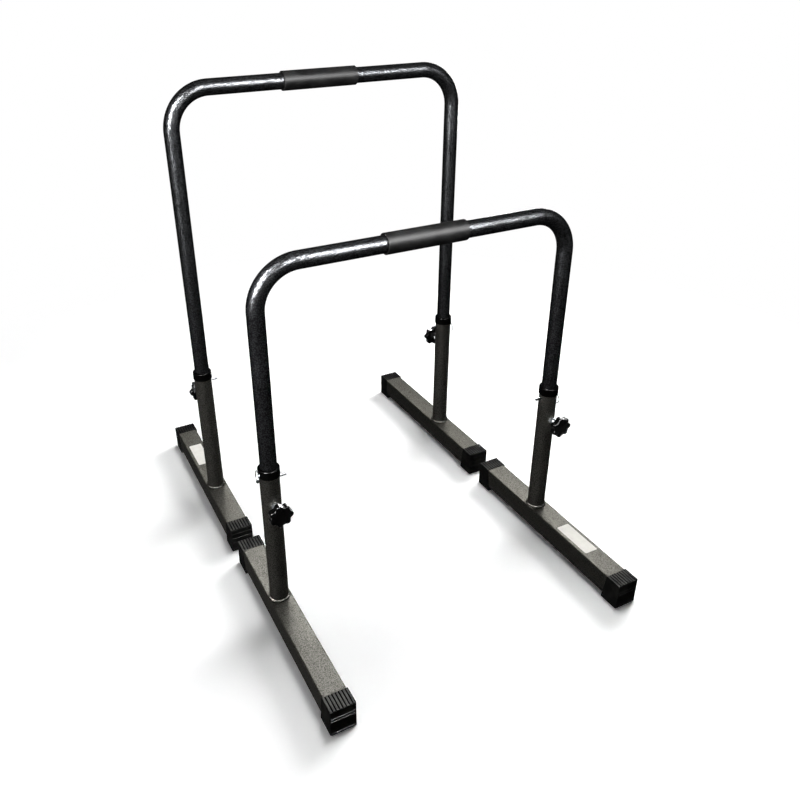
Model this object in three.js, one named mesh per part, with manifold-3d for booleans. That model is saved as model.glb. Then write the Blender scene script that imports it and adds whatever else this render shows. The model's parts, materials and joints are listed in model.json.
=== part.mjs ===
import * as THREE from 'three';
import { mergeVertices } from 'three/addons/utils/BufferGeometryUtils.js';
import Module from 'manifold-3d';

const wasm = await Module();
wasm.setup();

// Lengths are in millimetres. Each frame stands on the floor with its bar along x.
// The posts stand at y = 0 of the frame, and the knobs face -y.

// Fits and cutters
const clearance = 0.3;
const overrun = 2;

// Bar and telescoping legs
const postSpacing = 675;
const legDiameter = 33.4;
const legWall = 2;
const bendRadius = 84;
const firstHoleDrop = 431;
const holePitch = 38.5;
const settingCount = 7;
const legBelowStud = 13;

// Sleeves on the bars, each pushed a little off the middle
const gripLength = 173;
const gripWall = 3.2;
const gripEdge = 1.2;
const frontGripShift = 1.2;
const rearGripShift = 4.7;

// Moulded plug in the end of each leg
const glideFlange = 4;
const glideDepth = 14;
const glideWall = 2.5;
const glideRest = 0.7;

// Posts
const slideGap = 1.8;
const postWall = 1.5;
const postAbovePin = 24;
const knobDrop = 53;
const beadWidth = 3.5;
const beadHeight = 4.5;
const beadShoulderShares = [0.6, 0.7];

// Bush on the top of each post
const collarSkirt = 15;
const collarSkirtWall = 1.4;
const collarCrown = 3.7;
const collarRound = 2.6;
const collarRoundShare = 0.3;

// Feet
const footSize = 50;
const footWall = 2;
const footCorner = 3;
const footOuterReach = 315;
const footInnerReach = 202;
const frameGap = 40;
const frameSkew = 3;

// Shoe caps on the feet
const capSole = 10.7;
const capSideWall = 1.7;
const capTopWall = 0.7;
const capEndWall = 4;
const capTopLength = 37;
const capSoleLength = 45;
const capEdge = 2;
const capRibCount = 8;
const capRibHeight = 0.8;
const capRidge = 0.6;
const capRidgeInset = 3;
const outerRidgeShares = [0.1, 0.585, 0.7];
const innerRidgeShares = [0.1, 0.4, 0.6, 0.8];

// Locking pins and their rings
const pinDiameter = 6;
const pinPlay = 0.5;
const pinInnerReach = 35;
const pinTipRound = 2;
const pinHeadReach = 24;
const pinHeadDiameter = 7;
const pinEyeThickness = 4.4;
const ringDiameter = 25;
const ringWire = 2;
const eyePlay = 0.5;

// Clamping knobs
const studDiameter = 8;
const studTip = 1;
const nutFlats = 13;
const nutHeight = 6.7;
const nutChamfer = 1;
const knobStandoff = 10;
const hubLength = 8;
const hubBaseDiameter = 24;
const hubEndDiameter = 18;
const knobDiameter = 50;
const knobThickness = 16;
const knobCrown = 2;
const crownShares = [0.6, 0.25];
const lobeCount = 7;
const lobeRadius = 6;
const lobeDepth = 4.5;
const studSeat = 10;

// Faces on round and bent forms
const tubeSides = 18;
const smallSides = 12;
const holeSides = 8;
const wireSides = 6;
const bendSteps = 6;
const ribSteps = 2;
const arcSteps = 2;

// Sizes that follow from those above
const legRadius = legDiameter / 2;
const postBoreRadius = legRadius + slideGap;
const postRadius = postBoreRadius + postWall;
const footBottom = capSole + clearance;
const footTop = footBottom + footSize;
const postBottom = footTop + clearance;
const holeSpan = (settingCount - 1) * holePitch;
const legBelowHoles = knobDrop + legBelowStud;
const legLength = firstHoleDrop + holeSpan + legBelowHoles;
const pinHeight = footTop + glideRest + clearance + glideFlange + legBelowHoles + holeSpan;
const postTop = pinHeight + postAbovePin;
const knobHeight = pinHeight - knobDrop;
const pinHoleDiameter = pinDiameter + 2 * pinPlay;
const studBoreDiameter = studDiameter + 2 * clearance;
const capTop = footTop + clearance + capTopWall + capRibHeight;
const capWidth = footSize + 2 * (clearance + capSideWall);
const frameSpacing = 2 * footInnerReach + frameGap;
const collarRadius = postRadius + clearance + collarSkirtWall;
const nutEnd = postRadius + clearance + nutHeight;
const hubEnd = nutEnd + knobStandoff;
const knobBack = hubEnd + hubLength;
const knobFront = knobBack + knobThickness;
const ringRadius = (ringDiameter - ringWire) / 2;

const hammeredPaint = new THREE.MeshStandardMaterial({ color: 0x55554f, roughness: 0.45, metalness: 0.5 });
const blackPlastic = new THREE.MeshStandardMaterial({ color: 0x1e1e1f, roughness: 0.5, metalness: 0 });
const blackRubber = new THREE.MeshStandardMaterial({ color: 0x1b1b1b, roughness: 0.7, metalness: 0 });
const capPlastic = new THREE.MeshStandardMaterial({ color: 0x2a2a2b, roughness: 0.6, metalness: 0 });
const zincPlate = new THREE.MeshStandardMaterial({ color: 0xb9bcc0, roughness: 0.3, metalness: 1 });
const brightSteel = new THREE.MeshStandardMaterial({ color: 0xd0d0d0, roughness: 0.15, metalness: 1 });
const weldMetal = new THREE.MeshStandardMaterial({ color: 0x9a9a94, roughness: 0.4, metalness: 0.8 });

// Solids and meshes
function solid(geometry) {
  const bare = new THREE.BufferGeometry();
  bare.setAttribute('position', geometry.getAttribute('position'));
  bare.setIndex(geometry.getIndex());
  const merged = mergeVertices(bare);
  const corners = merged.getIndex().array;
  const kept = [];
  for (let i = 0; i < corners.length; i += 3) {
    const triangle = [corners[i], corners[i + 1], corners[i + 2]];
    if (new Set(triangle).size === 3) {
      kept.push(...triangle);
    }
  }
  const vertProperties = merged.getAttribute('position').array;
  const triVerts = Uint32Array.from(kept);
  return new wasm.Manifold(new wasm.Mesh({ numProp: 3, vertProperties, triVerts }));
}

function mesh(name, body, material) {
  const { vertProperties, triVerts } = body.getMesh();
  const geometry = new THREE.BufferGeometry();
  geometry.setAttribute('position', new THREE.BufferAttribute(vertProperties, 3));
  geometry.setIndex(new THREE.BufferAttribute(triVerts, 1));
  geometry.computeVertexNormals();
  const piece = new THREE.Mesh(geometry, material);
  piece.name = name;
  return piece;
}

// A closed profile of [radius, height] points turned about z
function turned(profile, sides) {
  const points = profile.map(([radius, height]) => new THREE.Vector2(radius, height));
  return new THREE.LatheGeometry(points, sides).rotateX(Math.PI / 2);
}

function tubeProfile(outer, inner, low, high) {
  return [[inner, low], [outer, low], [outer, high], [inner, high], [inner, low]];
}

// A rod along z between two heights
function rod(radius, low, high, sides) {
  const length = high - low;
  return new THREE.CylinderGeometry(radius, radius, length, sides)
    .rotateX(Math.PI / 2)
    .translate(0, 0, low + length / 2);
}

// A rod along x through the middle of a tube
function crossRod(diameter, reach, x, z) {
  return solid(rod(diameter / 2, -reach, reach, holeSides).rotateY(Math.PI / 2).translate(x, 0, z));
}

function roundedSquare(size, corner) {
  const half = size / 2;
  const outline = new THREE.Path();
  outline.moveTo(corner - half, -half);
  outline.lineTo(half - corner, -half);
  outline.quadraticCurveTo(half, -half, half, corner - half);
  outline.lineTo(half, half - corner);
  outline.quadraticCurveTo(half, half, half - corner, half);
  outline.lineTo(corner - half, half);
  outline.quadraticCurveTo(-half, half, -half, half - corner);
  outline.lineTo(-half, corner - half);
  outline.quadraticCurveTo(-half, -half, corner - half, -half);
  return outline;
}

// A section drawn in x and z, extruded along y from start to end
function alongY(shape, start, end) {
  const options = { depth: end - start, bevelEnabled: false, curveSegments: ribSteps };
  return new THREE.ExtrudeGeometry(shape, options).rotateX(Math.PI / 2).translate(0, end, 0);
}

// Bar and legs: one straight tube, with a ring at each end of the straights and along the bends
const legRun = legLength - bendRadius;
const bendRun = bendRadius * Math.PI / 2;
const barRun = postSpacing - 2 * bendRadius;
const wholeRun = 2 * (legRun + bendRun) + barRun;

function bendStations(start) {
  return Array.from({ length: bendSteps + 1 }, (_, step) => start + bendRun * step / bendSteps);
}

// Takes a point of the straight tube to the bent one, whose bar axis lies at z = 0
function bentPoint(inward, across, run) {
  const side = run < wholeRun / 2 ? -1 : 1;
  const fromEnd = Math.min(run, wholeRun - run);
  const turn = THREE.MathUtils.clamp((fromEnd - legRun) / bendRadius, 0, Math.PI / 2);
  const reach = bendRadius - inward;
  const alongBar = Math.max(0, fromEnd - legRun - bendRun);
  const belowBend = Math.max(0, legRun - fromEnd);
  const x = side * (barRun / 2 + reach * Math.cos(turn) - alongBar);
  const z = reach * Math.sin(turn) - bendRadius - belowBend;
  return [x, across, z];
}

function upperFrame() {
  const runs = [0, ...bendStations(legRun), ...bendStations(legRun + bendRun + barRun), wholeRun];
  const boreRadius = legRadius - legWall;
  const outer = runs.map((run) => [legRadius, run]);
  const inner = runs.map((run) => [boreRadius, run]).reverse();
  const tube = turned([...outer, ...inner, outer[0]], tubeSides);
  const place = tube.getAttribute('position');
  for (let i = 0; i < place.count; i += 1) {
    place.setXYZ(i, ...bentPoint(place.getX(i), place.getY(i), place.getZ(i)));
  }
  let body = solid(tube);
  for (const side of [-1, 1]) {
    for (let setting = 0; setting < settingCount; setting += 1) {
      const drop = firstHoleDrop + setting * holePitch;
      const hole = crossRod(pinHoleDiameter, legRadius + overrun, side * postSpacing / 2, -drop);
      body = body.subtract(hole);
    }
  }
  return body;
}

function gripSleeve() {
  const inner = legRadius + clearance;
  const outer = inner + gripWall;
  const half = gripLength / 2;
  const profile = [
    [inner, -half],
    [outer - gripEdge, -half],
    [outer, gripEdge - half],
    [outer, half - gripEdge],
    [outer - gripEdge, half],
    [inner, half],
    [inner, -half],
  ];
  return solid(turned(profile, tubeSides).rotateY(Math.PI / 2));
}

// The flange runs in the post, and the hollow spigot sits in the leg, whose end is at z = 0
function glide() {
  const spigot = legRadius - legWall - clearance;
  const flange = postBoreRadius - clearance;
  const profile = [
    [0, glideDepth - glideWall],
    [spigot - glideWall, glideDepth - glideWall],
    [spigot - glideWall, -clearance - glideFlange],
    [flange, -clearance - glideFlange],
    [flange, -clearance],
    [spigot, -clearance],
    [spigot, glideDepth],
    [0, glideDepth],
  ];
  return solid(turned(profile, tubeSides));
}

function post() {
  const tube = solid(turned(tubeProfile(postRadius, postBoreRadius, postBottom, postTop), tubeSides));
  const pinHole = crossRod(pinHoleDiameter, postRadius + overrun, 0, pinHeight);
  const studHole = rod(studBoreDiameter / 2, 0, postRadius + overrun, smallSides)
    .rotateX(Math.PI / 2)
    .translate(0, 0, knobHeight);
  return tube.subtract(pinHole).subtract(solid(studHole));
}

function weldBead() {
  const inner = postRadius + clearance;
  const profile = [
    [inner, postBottom],
    [inner + beadWidth, postBottom],
    [inner + beadWidth * beadShoulderShares[0], postBottom + beadHeight * beadShoulderShares[1]],
    [inner, postBottom + beadHeight],
    [inner, postBottom],
  ];
  return solid(turned(profile, tubeSides));
}

// The skirt is outside the post, the sleeve fills the gap between the tubes, and the crown joins them
function collar() {
  const bore = legRadius + clearance;
  const sleeve = postBoreRadius - clearance;
  const low = postTop - collarSkirt;
  const under = postTop + clearance;
  const high = under + collarCrown;
  const profile = [
    [bore, low],
    [sleeve, low],
    [sleeve, under],
    [postRadius + clearance, under],
    [postRadius + clearance, low],
    [collarRadius, low],
    [collarRadius, high - collarRound],
    [collarRadius - collarRound * collarRoundShare, high - collarRound * collarRoundShare],
    [collarRadius - collarRound, high],
    [bore, high],
    [bore, low],
  ];
  return solid(turned(profile, tubeSides));
}

function footTube() {
  const section = new THREE.Shape(roundedSquare(footSize, footCorner).getPoints(arcSteps));
  const bore = roundedSquare(footSize - 2 * footWall, footCorner - footWall);
  section.holes.push(new THREE.Path(bore.getPoints(arcSteps)));
  const inside = capEndWall + clearance;
  const tube = alongY(section, inside - footOuterReach, footInnerReach - inside);
  return solid(tube.translate(0, 0, footBottom + footSize / 2));
}

// The section of a cap: a flat sole, two sides and a ribbed top
function capSection() {
  const half = capWidth / 2;
  const valley = capTop - capRibHeight;
  const ribPitch = capWidth / capRibCount;
  const shape = new THREE.Shape();
  shape.moveTo(capEdge - half, 0);
  shape.lineTo(half - capEdge, 0);
  shape.quadraticCurveTo(half, 0, half, capEdge);
  shape.lineTo(half, valley);
  for (let rib = 1; rib <= capRibCount; rib += 1) {
    const end = half - rib * ribPitch;
    shape.quadraticCurveTo(end + ribPitch / 2, valley + 2 * capRibHeight, end, valley);
  }
  shape.lineTo(-half, capEdge);
  shape.quadraticCurveTo(-half, 0, capEdge - half, 0);
  return shape;
}

// The side view of a cap, in y and z, with its end face at y = 0
function capSideView() {
  const width = capWidth + 2 * overrun;
  const outline = new THREE.Shape();
  outline.moveTo(0, -overrun);
  outline.lineTo(capSoleLength, -overrun);
  outline.lineTo(capSoleLength, capSole);
  outline.lineTo(capTopLength, capTop);
  outline.lineTo(capTopLength, capTop + overrun);
  outline.lineTo(0, capTop + overrun);
  const options = { depth: width, bevelEnabled: false };
  return new THREE.ExtrudeGeometry(outline, options)
    .rotateX(Math.PI / 2)
    .rotateZ(Math.PI / 2)
    .translate(-width / 2, 0, 0);
}

function shoeCap(ridgeShares) {
  const block = solid(alongY(capSection(), 0, capSoleLength));
  const socketSize = footSize + 2 * clearance;
  const socketShape = new THREE.Shape(roundedSquare(socketSize, footCorner + clearance).getPoints(arcSteps));
  const socket = alongY(socketShape, capEndWall, capSoleLength + overrun)
    .translate(0, 0, footBottom + footSize / 2);
  let body = block.intersect(solid(capSideView())).subtract(solid(socket));
  for (const share of ridgeShares) {
    const half = capWidth / 2 - capRidgeInset;
    const ridge = rod(capRidge, -half, half, wireSides).rotateY(Math.PI / 2);
    body = body.add(solid(ridge.translate(0, 0, share * capTop)));
  }
  return body;
}

// The pin lies along x through the post, with its eye head at +x
function lockPin() {
  const radius = pinDiameter / 2;
  const headRadius = pinHeadDiameter / 2;
  const shank = [
    [0, -pinInnerReach],
    [radius - pinTipRound, -pinInnerReach],
    [radius, pinTipRound - pinInnerReach],
    [radius, pinHeadReach],
    [0, pinHeadReach],
  ];
  const head = new THREE.SphereGeometry(headRadius, smallSides, wireSides).translate(0, 0, pinHeadReach);
  const flats = new THREE.BoxGeometry(pinHeadDiameter, pinEyeThickness, pinHeadDiameter)
    .translate(0, 0, pinHeadReach);
  const eyeRadius = ringWire / 2 + eyePlay;
  const eye = rod(eyeRadius, -headRadius, headRadius, holeSides)
    .rotateX(Math.PI / 2)
    .translate(0, 0, pinHeadReach);
  const body = solid(turned(shank, smallSides))
    .subtract(solid(flats))
    .add(solid(head).intersect(solid(flats)))
    .subtract(solid(eye));
  return body.rotate([0, 90, 0]);
}

// The ring hangs from the eye, whose centre is its origin, in the plane x = 0
function pullRing() {
  const wire = new THREE.TorusGeometry(ringRadius, ringWire / 2, wireSides, tubeSides);
  return solid(wire.rotateY(Math.PI / 2).translate(0, 0, -ringRadius));
}

// Knob pieces are made about z, which points out from the post axis
function weldNut() {
  const cornerRadius = nutFlats / 2 / Math.cos(Math.PI / 6);
  const start = postBoreRadius;
  const blank = solid(new THREE.CylinderGeometry(cornerRadius, cornerRadius, nutEnd - start, 6)
    .rotateX(Math.PI / 2)
    .translate(0, 0, (start + nutEnd) / 2));
  const chamfer = [
    [0, start],
    [cornerRadius + nutChamfer, start],
    [cornerRadius + nutChamfer, nutEnd - 2 * nutChamfer],
    [cornerRadius - nutChamfer, nutEnd],
    [0, nutEnd],
  ];
  const bore = rod(studBoreDiameter / 2, start - overrun, nutEnd + overrun, smallSides);
  const postSide = rod(postRadius + clearance, -nutFlats, nutFlats, tubeSides).rotateX(Math.PI / 2);
  return blank
    .intersect(solid(turned(chamfer, tubeSides)))
    .subtract(solid(bore))
    .subtract(solid(postSide));
}

function threadedStud() {
  const radius = studDiameter / 2;
  const tip = legRadius + clearance;
  const end = knobBack + studSeat;
  const profile = [
    [0, tip],
    [radius - studTip, tip],
    [radius, tip + studTip],
    [radius, end - studTip],
    [radius - studTip, end],
    [0, end],
  ];
  return solid(turned(profile, smallSides));
}

// Round lobes joined by round hollows, each arc tangent to the next
function lobedOutline() {
  const lobeCentre = knobDiameter / 2 - lobeRadius;
  const valley = knobDiameter / 2 - lobeDepth;
  const halfPitch = Math.PI / lobeCount;
  const lean = lobeCentre * Math.cos(halfPitch);
  const hollowRadius = (lobeCentre ** 2 + valley ** 2 - 2 * valley * lean - lobeRadius ** 2)
    / (2 * (lobeRadius + lean - valley));
  const hollowCentre = valley + hollowRadius;
  const across = hollowCentre * Math.sin(halfPitch);
  const along = hollowCentre * Math.cos(halfPitch) - lobeCentre;
  const lobeTurn = Math.atan2(across, along);
  const hollowTurn = lobeTurn - halfPitch;
  const outline = new THREE.Shape();
  for (let lobe = 0; lobe < lobeCount; lobe += 1) {
    const middle = 2 * halfPitch * lobe;
    const x = lobeCentre * Math.cos(middle);
    const y = lobeCentre * Math.sin(middle);
    outline.absarc(x, y, lobeRadius, middle - lobeTurn, middle + lobeTurn);
    const next = middle + halfPitch;
    const hollowX = hollowCentre * Math.cos(next);
    const hollowY = hollowCentre * Math.sin(next);
    const back = next + Math.PI;
    outline.absarc(hollowX, hollowY, hollowRadius, back + hollowTurn, back - hollowTurn, true);
  }
  return outline;
}

function knob() {
  const options = { depth: knobThickness, bevelEnabled: false, curveSegments: arcSteps };
  const star = new THREE.ExtrudeGeometry(lobedOutline(), options).translate(0, 0, knobBack);
  const reach = knobDiameter / 2 + overrun;
  const crown = [
    [0, knobBack - overrun],
    [reach, knobBack - overrun],
    [reach, knobFront - knobCrown],
    [reach * crownShares[0], knobFront - knobCrown * crownShares[1]],
    [0, knobFront],
  ];
  const hub = [
    [0, hubEnd],
    [hubEndDiameter / 2, hubEnd],
    [hubBaseDiameter / 2, knobBack],
    [hubBaseDiameter / 2, knobBack + studSeat],
    [0, knobBack + studSeat],
  ];
  const bore = rod(studBoreDiameter / 2, hubEnd - overrun, knobBack + studSeat + clearance, smallSides);
  return solid(star)
    .intersect(solid(turned(crown, tubeSides)))
    .add(solid(turned(hub, tubeSides)))
    .subtract(solid(bore));
}

// One post with its foot, bush, pin and knob. The pin head points away from the other post.
function addSide(frame, name, side, ringAngle) {
  const stand = new THREE.Group();
  stand.position.x = side * postSpacing / 2;
  stand.add(mesh(`${name}_post`, post(), hammeredPaint));
  stand.add(mesh(`${name}_weld_bead`, weldBead(), weldMetal));
  stand.add(mesh(`${name}_collar`, collar(), blackPlastic));
  stand.add(mesh(`${name}_foot`, footTube(), hammeredPaint));

  const outerCap = mesh(`${name}_outer_cap`, shoeCap(outerRidgeShares), capPlastic);
  outerCap.position.y = -footOuterReach;
  const innerCap = mesh(`${name}_inner_cap`, shoeCap(innerRidgeShares), capPlastic);
  innerCap.position.y = footInnerReach;
  innerCap.rotation.z = Math.PI;
  stand.add(outerCap, innerCap);

  const lock = new THREE.Group();
  lock.position.z = pinHeight;
  lock.rotation.z = side > 0 ? 0 : Math.PI;
  const ring = mesh(`${name}_pull_ring`, pullRing(), brightSteel);
  ring.position.x = pinHeadReach;
  ring.rotation.y = ringAngle;
  lock.add(mesh(`${name}_lock_pin`, lockPin(), brightSteel), ring);

  const clamp = new THREE.Group();
  clamp.position.z = knobHeight;
  clamp.rotation.x = Math.PI / 2;
  clamp.add(mesh(`${name}_weld_nut`, weldNut(), zincPlate));
  clamp.add(mesh(`${name}_stud`, threadedStud(), zincPlate));
  clamp.add(mesh(`${name}_knob`, knob(), blackPlastic));

  stand.add(lock, clamp);
  frame.add(stand);
}

function addHandle(frame, name, names, setting, gripShift) {
  const handle = new THREE.Group();
  handle.position.z = pinHeight + firstHoleDrop + setting * holePitch;
  handle.add(mesh(`${name}_upper_frame`, upperFrame(), hammeredPaint));
  const sleeve = mesh(`${name}_grip_sleeve`, gripSleeve(), blackRubber);
  sleeve.position.x = gripShift;
  handle.add(sleeve);
  for (const side of [-1, 1]) {
    const plug = mesh(`${names[side]}_glide`, glide(), blackPlastic);
    plug.position.set(side * postSpacing / 2, 0, -legLength);
    handle.add(plug);
  }
  frame.add(handle);
}

// A ring either hangs or stands turned up, leaning in against its bush
const ringHangs = 0;
const ringLean = Math.asin((pinHeadReach - collarRadius - ringWire / 2 - clearance) / (2 * ringRadius));
const ringStands = Math.PI - ringLean;

function makeFrame(name, names, setting, gripShift, ringAngles) {
  const frame = new THREE.Group();
  addHandle(frame, name, names, setting, gripShift);
  for (const side of [-1, 1]) {
    addSide(frame, names[side], side, ringAngles[side]);
  }
  return frame;
}

// The front frame is at its lowest setting, and the rear one, turned round, at its highest
const frontNames = { [-1]: 'front_left', [1]: 'front_right' };
const rearNames = { [-1]: 'rear_right', [1]: 'rear_left' };
const frontRings = { [-1]: ringStands, [1]: ringHangs };
const rearRings = { [-1]: ringHangs, [1]: ringHangs };
const front = makeFrame('front', frontNames, 0, frontGripShift, frontRings);
front.position.set(frameSkew / 2, -frameSpacing / 2, 0);
const rear = makeFrame('rear', rearNames, settingCount - 1, rearGripShift, rearRings);
rear.position.set(-frameSkew / 2, frameSpacing / 2, 0);
rear.rotation.z = Math.PI;

const group = new THREE.Group();
group.add(front, rear);

export default group;
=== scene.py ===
import json
import math
import random

import bmesh
import bpy
from mathutils import Matrix, Vector

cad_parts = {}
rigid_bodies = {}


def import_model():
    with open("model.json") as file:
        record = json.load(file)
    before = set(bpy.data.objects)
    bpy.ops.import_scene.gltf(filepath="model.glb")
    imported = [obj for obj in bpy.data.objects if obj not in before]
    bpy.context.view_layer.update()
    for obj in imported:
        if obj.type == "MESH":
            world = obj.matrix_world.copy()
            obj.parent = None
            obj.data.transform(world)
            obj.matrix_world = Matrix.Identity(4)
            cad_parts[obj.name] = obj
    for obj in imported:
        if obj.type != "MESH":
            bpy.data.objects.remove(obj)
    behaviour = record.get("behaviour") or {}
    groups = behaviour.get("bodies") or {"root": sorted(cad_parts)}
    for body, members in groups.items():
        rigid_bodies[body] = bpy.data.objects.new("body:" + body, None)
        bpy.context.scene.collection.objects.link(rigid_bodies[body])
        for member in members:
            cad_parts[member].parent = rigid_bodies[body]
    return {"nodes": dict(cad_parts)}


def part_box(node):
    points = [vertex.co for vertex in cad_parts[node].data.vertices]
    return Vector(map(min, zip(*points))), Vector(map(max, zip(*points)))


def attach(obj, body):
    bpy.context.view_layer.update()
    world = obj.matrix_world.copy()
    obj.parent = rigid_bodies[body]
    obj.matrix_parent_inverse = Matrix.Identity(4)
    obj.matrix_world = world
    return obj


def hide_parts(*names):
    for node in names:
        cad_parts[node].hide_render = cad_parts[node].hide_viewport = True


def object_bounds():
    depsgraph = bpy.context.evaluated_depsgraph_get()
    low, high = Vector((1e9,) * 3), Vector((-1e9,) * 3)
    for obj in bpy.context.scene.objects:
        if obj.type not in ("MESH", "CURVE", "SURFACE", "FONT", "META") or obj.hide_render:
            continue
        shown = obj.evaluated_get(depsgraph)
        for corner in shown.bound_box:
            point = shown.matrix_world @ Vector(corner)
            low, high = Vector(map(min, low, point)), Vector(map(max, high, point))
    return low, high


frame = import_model()
cadLow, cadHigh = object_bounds()

# A pair of free-standing dip bars. Meshes are made in millimetres and brought to metres as they are placed.
mm = 0.001
legRadius = 16.7
postBore = 18.5
postRadius = 20
clearance = 0.3
# how far a drill runs past what it cuts
overrun = 2
posts = ("front_left", "front_right", "rear_left", "rear_right")
fullTurn = 2 * math.pi
halfTurn = Matrix.Rotation(math.pi, 4, "Z")


# Colours and nodes

def linear(hexColour):
    # an sRGB hex value as the linear colour that shaders take
    parts = [int(hexColour[i:i + 2], 16) / 255 for i in (0, 2, 4)]
    return tuple(c / 12.92 if c <= 0.04045 else ((c + 0.055) / 1.055) ** 2.4 for c in parts) + (1.0,)


def addNode(tree, kind, settings=None, links=None):
    # a setting is a property of the node or the value of one of its sockets
    node = tree.nodes.new(kind)
    for key, value in (settings or {}).items():
        if isinstance(key, str) and hasattr(node, key):
            setattr(node, key, value)
        else:
            node.inputs[key].default_value = value
    for key, source in (links or {}).items():
        tree.links.new(source, node.inputs[key])
    return node


def newMaterial(name):
    material = bpy.data.materials.new(name)
    material.use_nodes = True
    material.node_tree.nodes.clear()
    return material, material.node_tree


def closeMaterial(tree, surface):
    addNode(tree, "ShaderNodeOutputMaterial", links={"Surface": surface})


def twoColours(tree, factor, first, second, low, high):
    # runs from the first colour to the second as the factor goes from low to high
    ramp = addNode(tree, "ShaderNodeValToRGB", links={"Fac": factor})
    ramp.color_ramp.elements[0].position = low
    ramp.color_ramp.elements[0].color = linear(first)
    ramp.color_ramp.elements[1].position = high
    ramp.color_ramp.elements[1].color = linear(second)
    return ramp.outputs["Color"]


def perMetre(sizeInMm):
    # the scale that gives a pattern whose grains are this big
    return 1 / (sizeInMm * mm)


# Materials

hammeredSizes = {"dimple": 1.7, "dimpleDepth": 0.08, "flake": 0.7, "drift": 70}
mottleSpan = (0.35, 0.95)
flakeWeight = 0.55
pitLeafing = 0.15
glossSwing = 0.05


def hammeredEnamel(name, flakeGrey, pitGrey, leafing, rough, coarser=1.0):
    # Stoved hammer-finish enamel: aluminium flake floats in pools about 2 mm wide, so the grey sparkles
    # unevenly. Leafing is the share of bare flake at the surface, which gleams like metal; the pits have
    # little. A coarser finish has its pools drawn larger than they are, where they would be too fine to see.
    material, tree = newMaterial(name)
    spot = addNode(tree, "ShaderNodeTexCoord").outputs["Object"]
    pools = addNode(
        tree, "ShaderNodeTexVoronoi",
        {"feature": "SMOOTH_F1", "Scale": perMetre(hammeredSizes["dimple"] * coarser), "Smoothness": 0.5},
        {"Vector": spot},
    )
    flakes = addNode(
        tree, "ShaderNodeTexNoise",
        {"Scale": perMetre(hammeredSizes["flake"] * coarser), "Detail": 2.0, "Roughness": 0.6},
        {"Vector": spot},
    )
    drift = addNode(
        tree, "ShaderNodeTexNoise",
        {"Scale": perMetre(hammeredSizes["drift"]), "Detail": 1.0},
        {"Vector": spot},
    )
    mottle = addNode(
        tree, "ShaderNodeMath", {"operation": "MULTIPLY_ADD", 1: flakeWeight},
        {0: flakes.outputs["Fac"], 2: pools.outputs["Distance"]},
    )
    grey = twoColours(tree, mottle.outputs[0], flakeGrey, pitGrey, *mottleSpan)
    flakeShare = addNode(
        tree, "ShaderNodeMapRange",
        {
            "From Min": mottleSpan[0], "From Max": mottleSpan[1],
            "To Min": leafing, "To Max": pitLeafing * leafing,
        },
        {"Value": mottle.outputs[0]},
    )
    gloss = addNode(
        tree, "ShaderNodeMapRange", {"To Min": rough - glossSwing, "To Max": rough + glossSwing},
        {"Value": drift.outputs["Fac"]},
    )
    depth = hammeredSizes["dimpleDepth"] * coarser ** 2
    relief = addNode(
        tree, "ShaderNodeBump", {"Strength": 0.8, "Distance": depth * mm},
        {"Height": pools.outputs["Distance"]},
    )
    shader = addNode(
        tree, "ShaderNodeBsdfPrincipled",
        {"Specular IOR Level": 0.0, "Specular Tint": (0.0, 0.0, 0.0, 1.0)},
        {
            "Base Color": grey, "Metallic": flakeShare.outputs["Result"],
            "Roughness": gloss.outputs["Result"], "Normal": relief.outputs["Normal"],
        },
    )
    closeMaterial(tree, shader.outputs["BSDF"])
    return material


mouldedSizes = {"grain": 0.5, "grainDepth": 0.02, "flow": 25}


def mouldedPolymer(name, dark, light, rough, specular, grainShare=1.0, bloom=0.0):
    # Injection moulding: one colour through, a faint tool grain, and soft changes of gloss where the melt
    # flowed. A bloom is a waxy skin that mirrors lamps head on and stays dark at a flat angle.
    material, tree = newMaterial(name)
    spot = addNode(tree, "ShaderNodeTexCoord").outputs["Object"]
    grain = addNode(
        tree, "ShaderNodeTexNoise",
        {"Scale": perMetre(mouldedSizes["grain"]), "Detail": 2.0},
        {"Vector": spot},
    )
    flow = addNode(
        tree, "ShaderNodeTexNoise",
        {"Scale": perMetre(mouldedSizes["flow"]), "Detail": 2.0},
        {"Vector": spot},
    )
    tone = twoColours(tree, flow.outputs["Fac"], dark, light, 0.35, 0.65)
    gloss = addNode(
        tree, "ShaderNodeMapRange",
        {"From Min": 0.3, "From Max": 0.7, "To Min": rough - glossSwing, "To Max": rough + glossSwing},
        {"Value": flow.outputs["Fac"]},
    )
    relief = addNode(
        tree, "ShaderNodeBump", {"Strength": 0.6, "Distance": mouldedSizes["grainDepth"] * grainShare * mm},
        {"Height": grain.outputs["Fac"]},
    )
    shader = addNode(
        tree, "ShaderNodeBsdfPrincipled",
        {
            "Specular IOR Level": specular, "Metallic": bloom,
            "Specular Tint": linear("000000" if bloom else "ffffff"),
        },
        {"Base Color": tone, "Roughness": gloss.outputs["Result"], "Normal": relief.outputs["Normal"]},
    )
    closeMaterial(tree, shader.outputs["BSDF"])
    return material


platedSizes = {"marks": 0.6, "cloud": 9}


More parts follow.
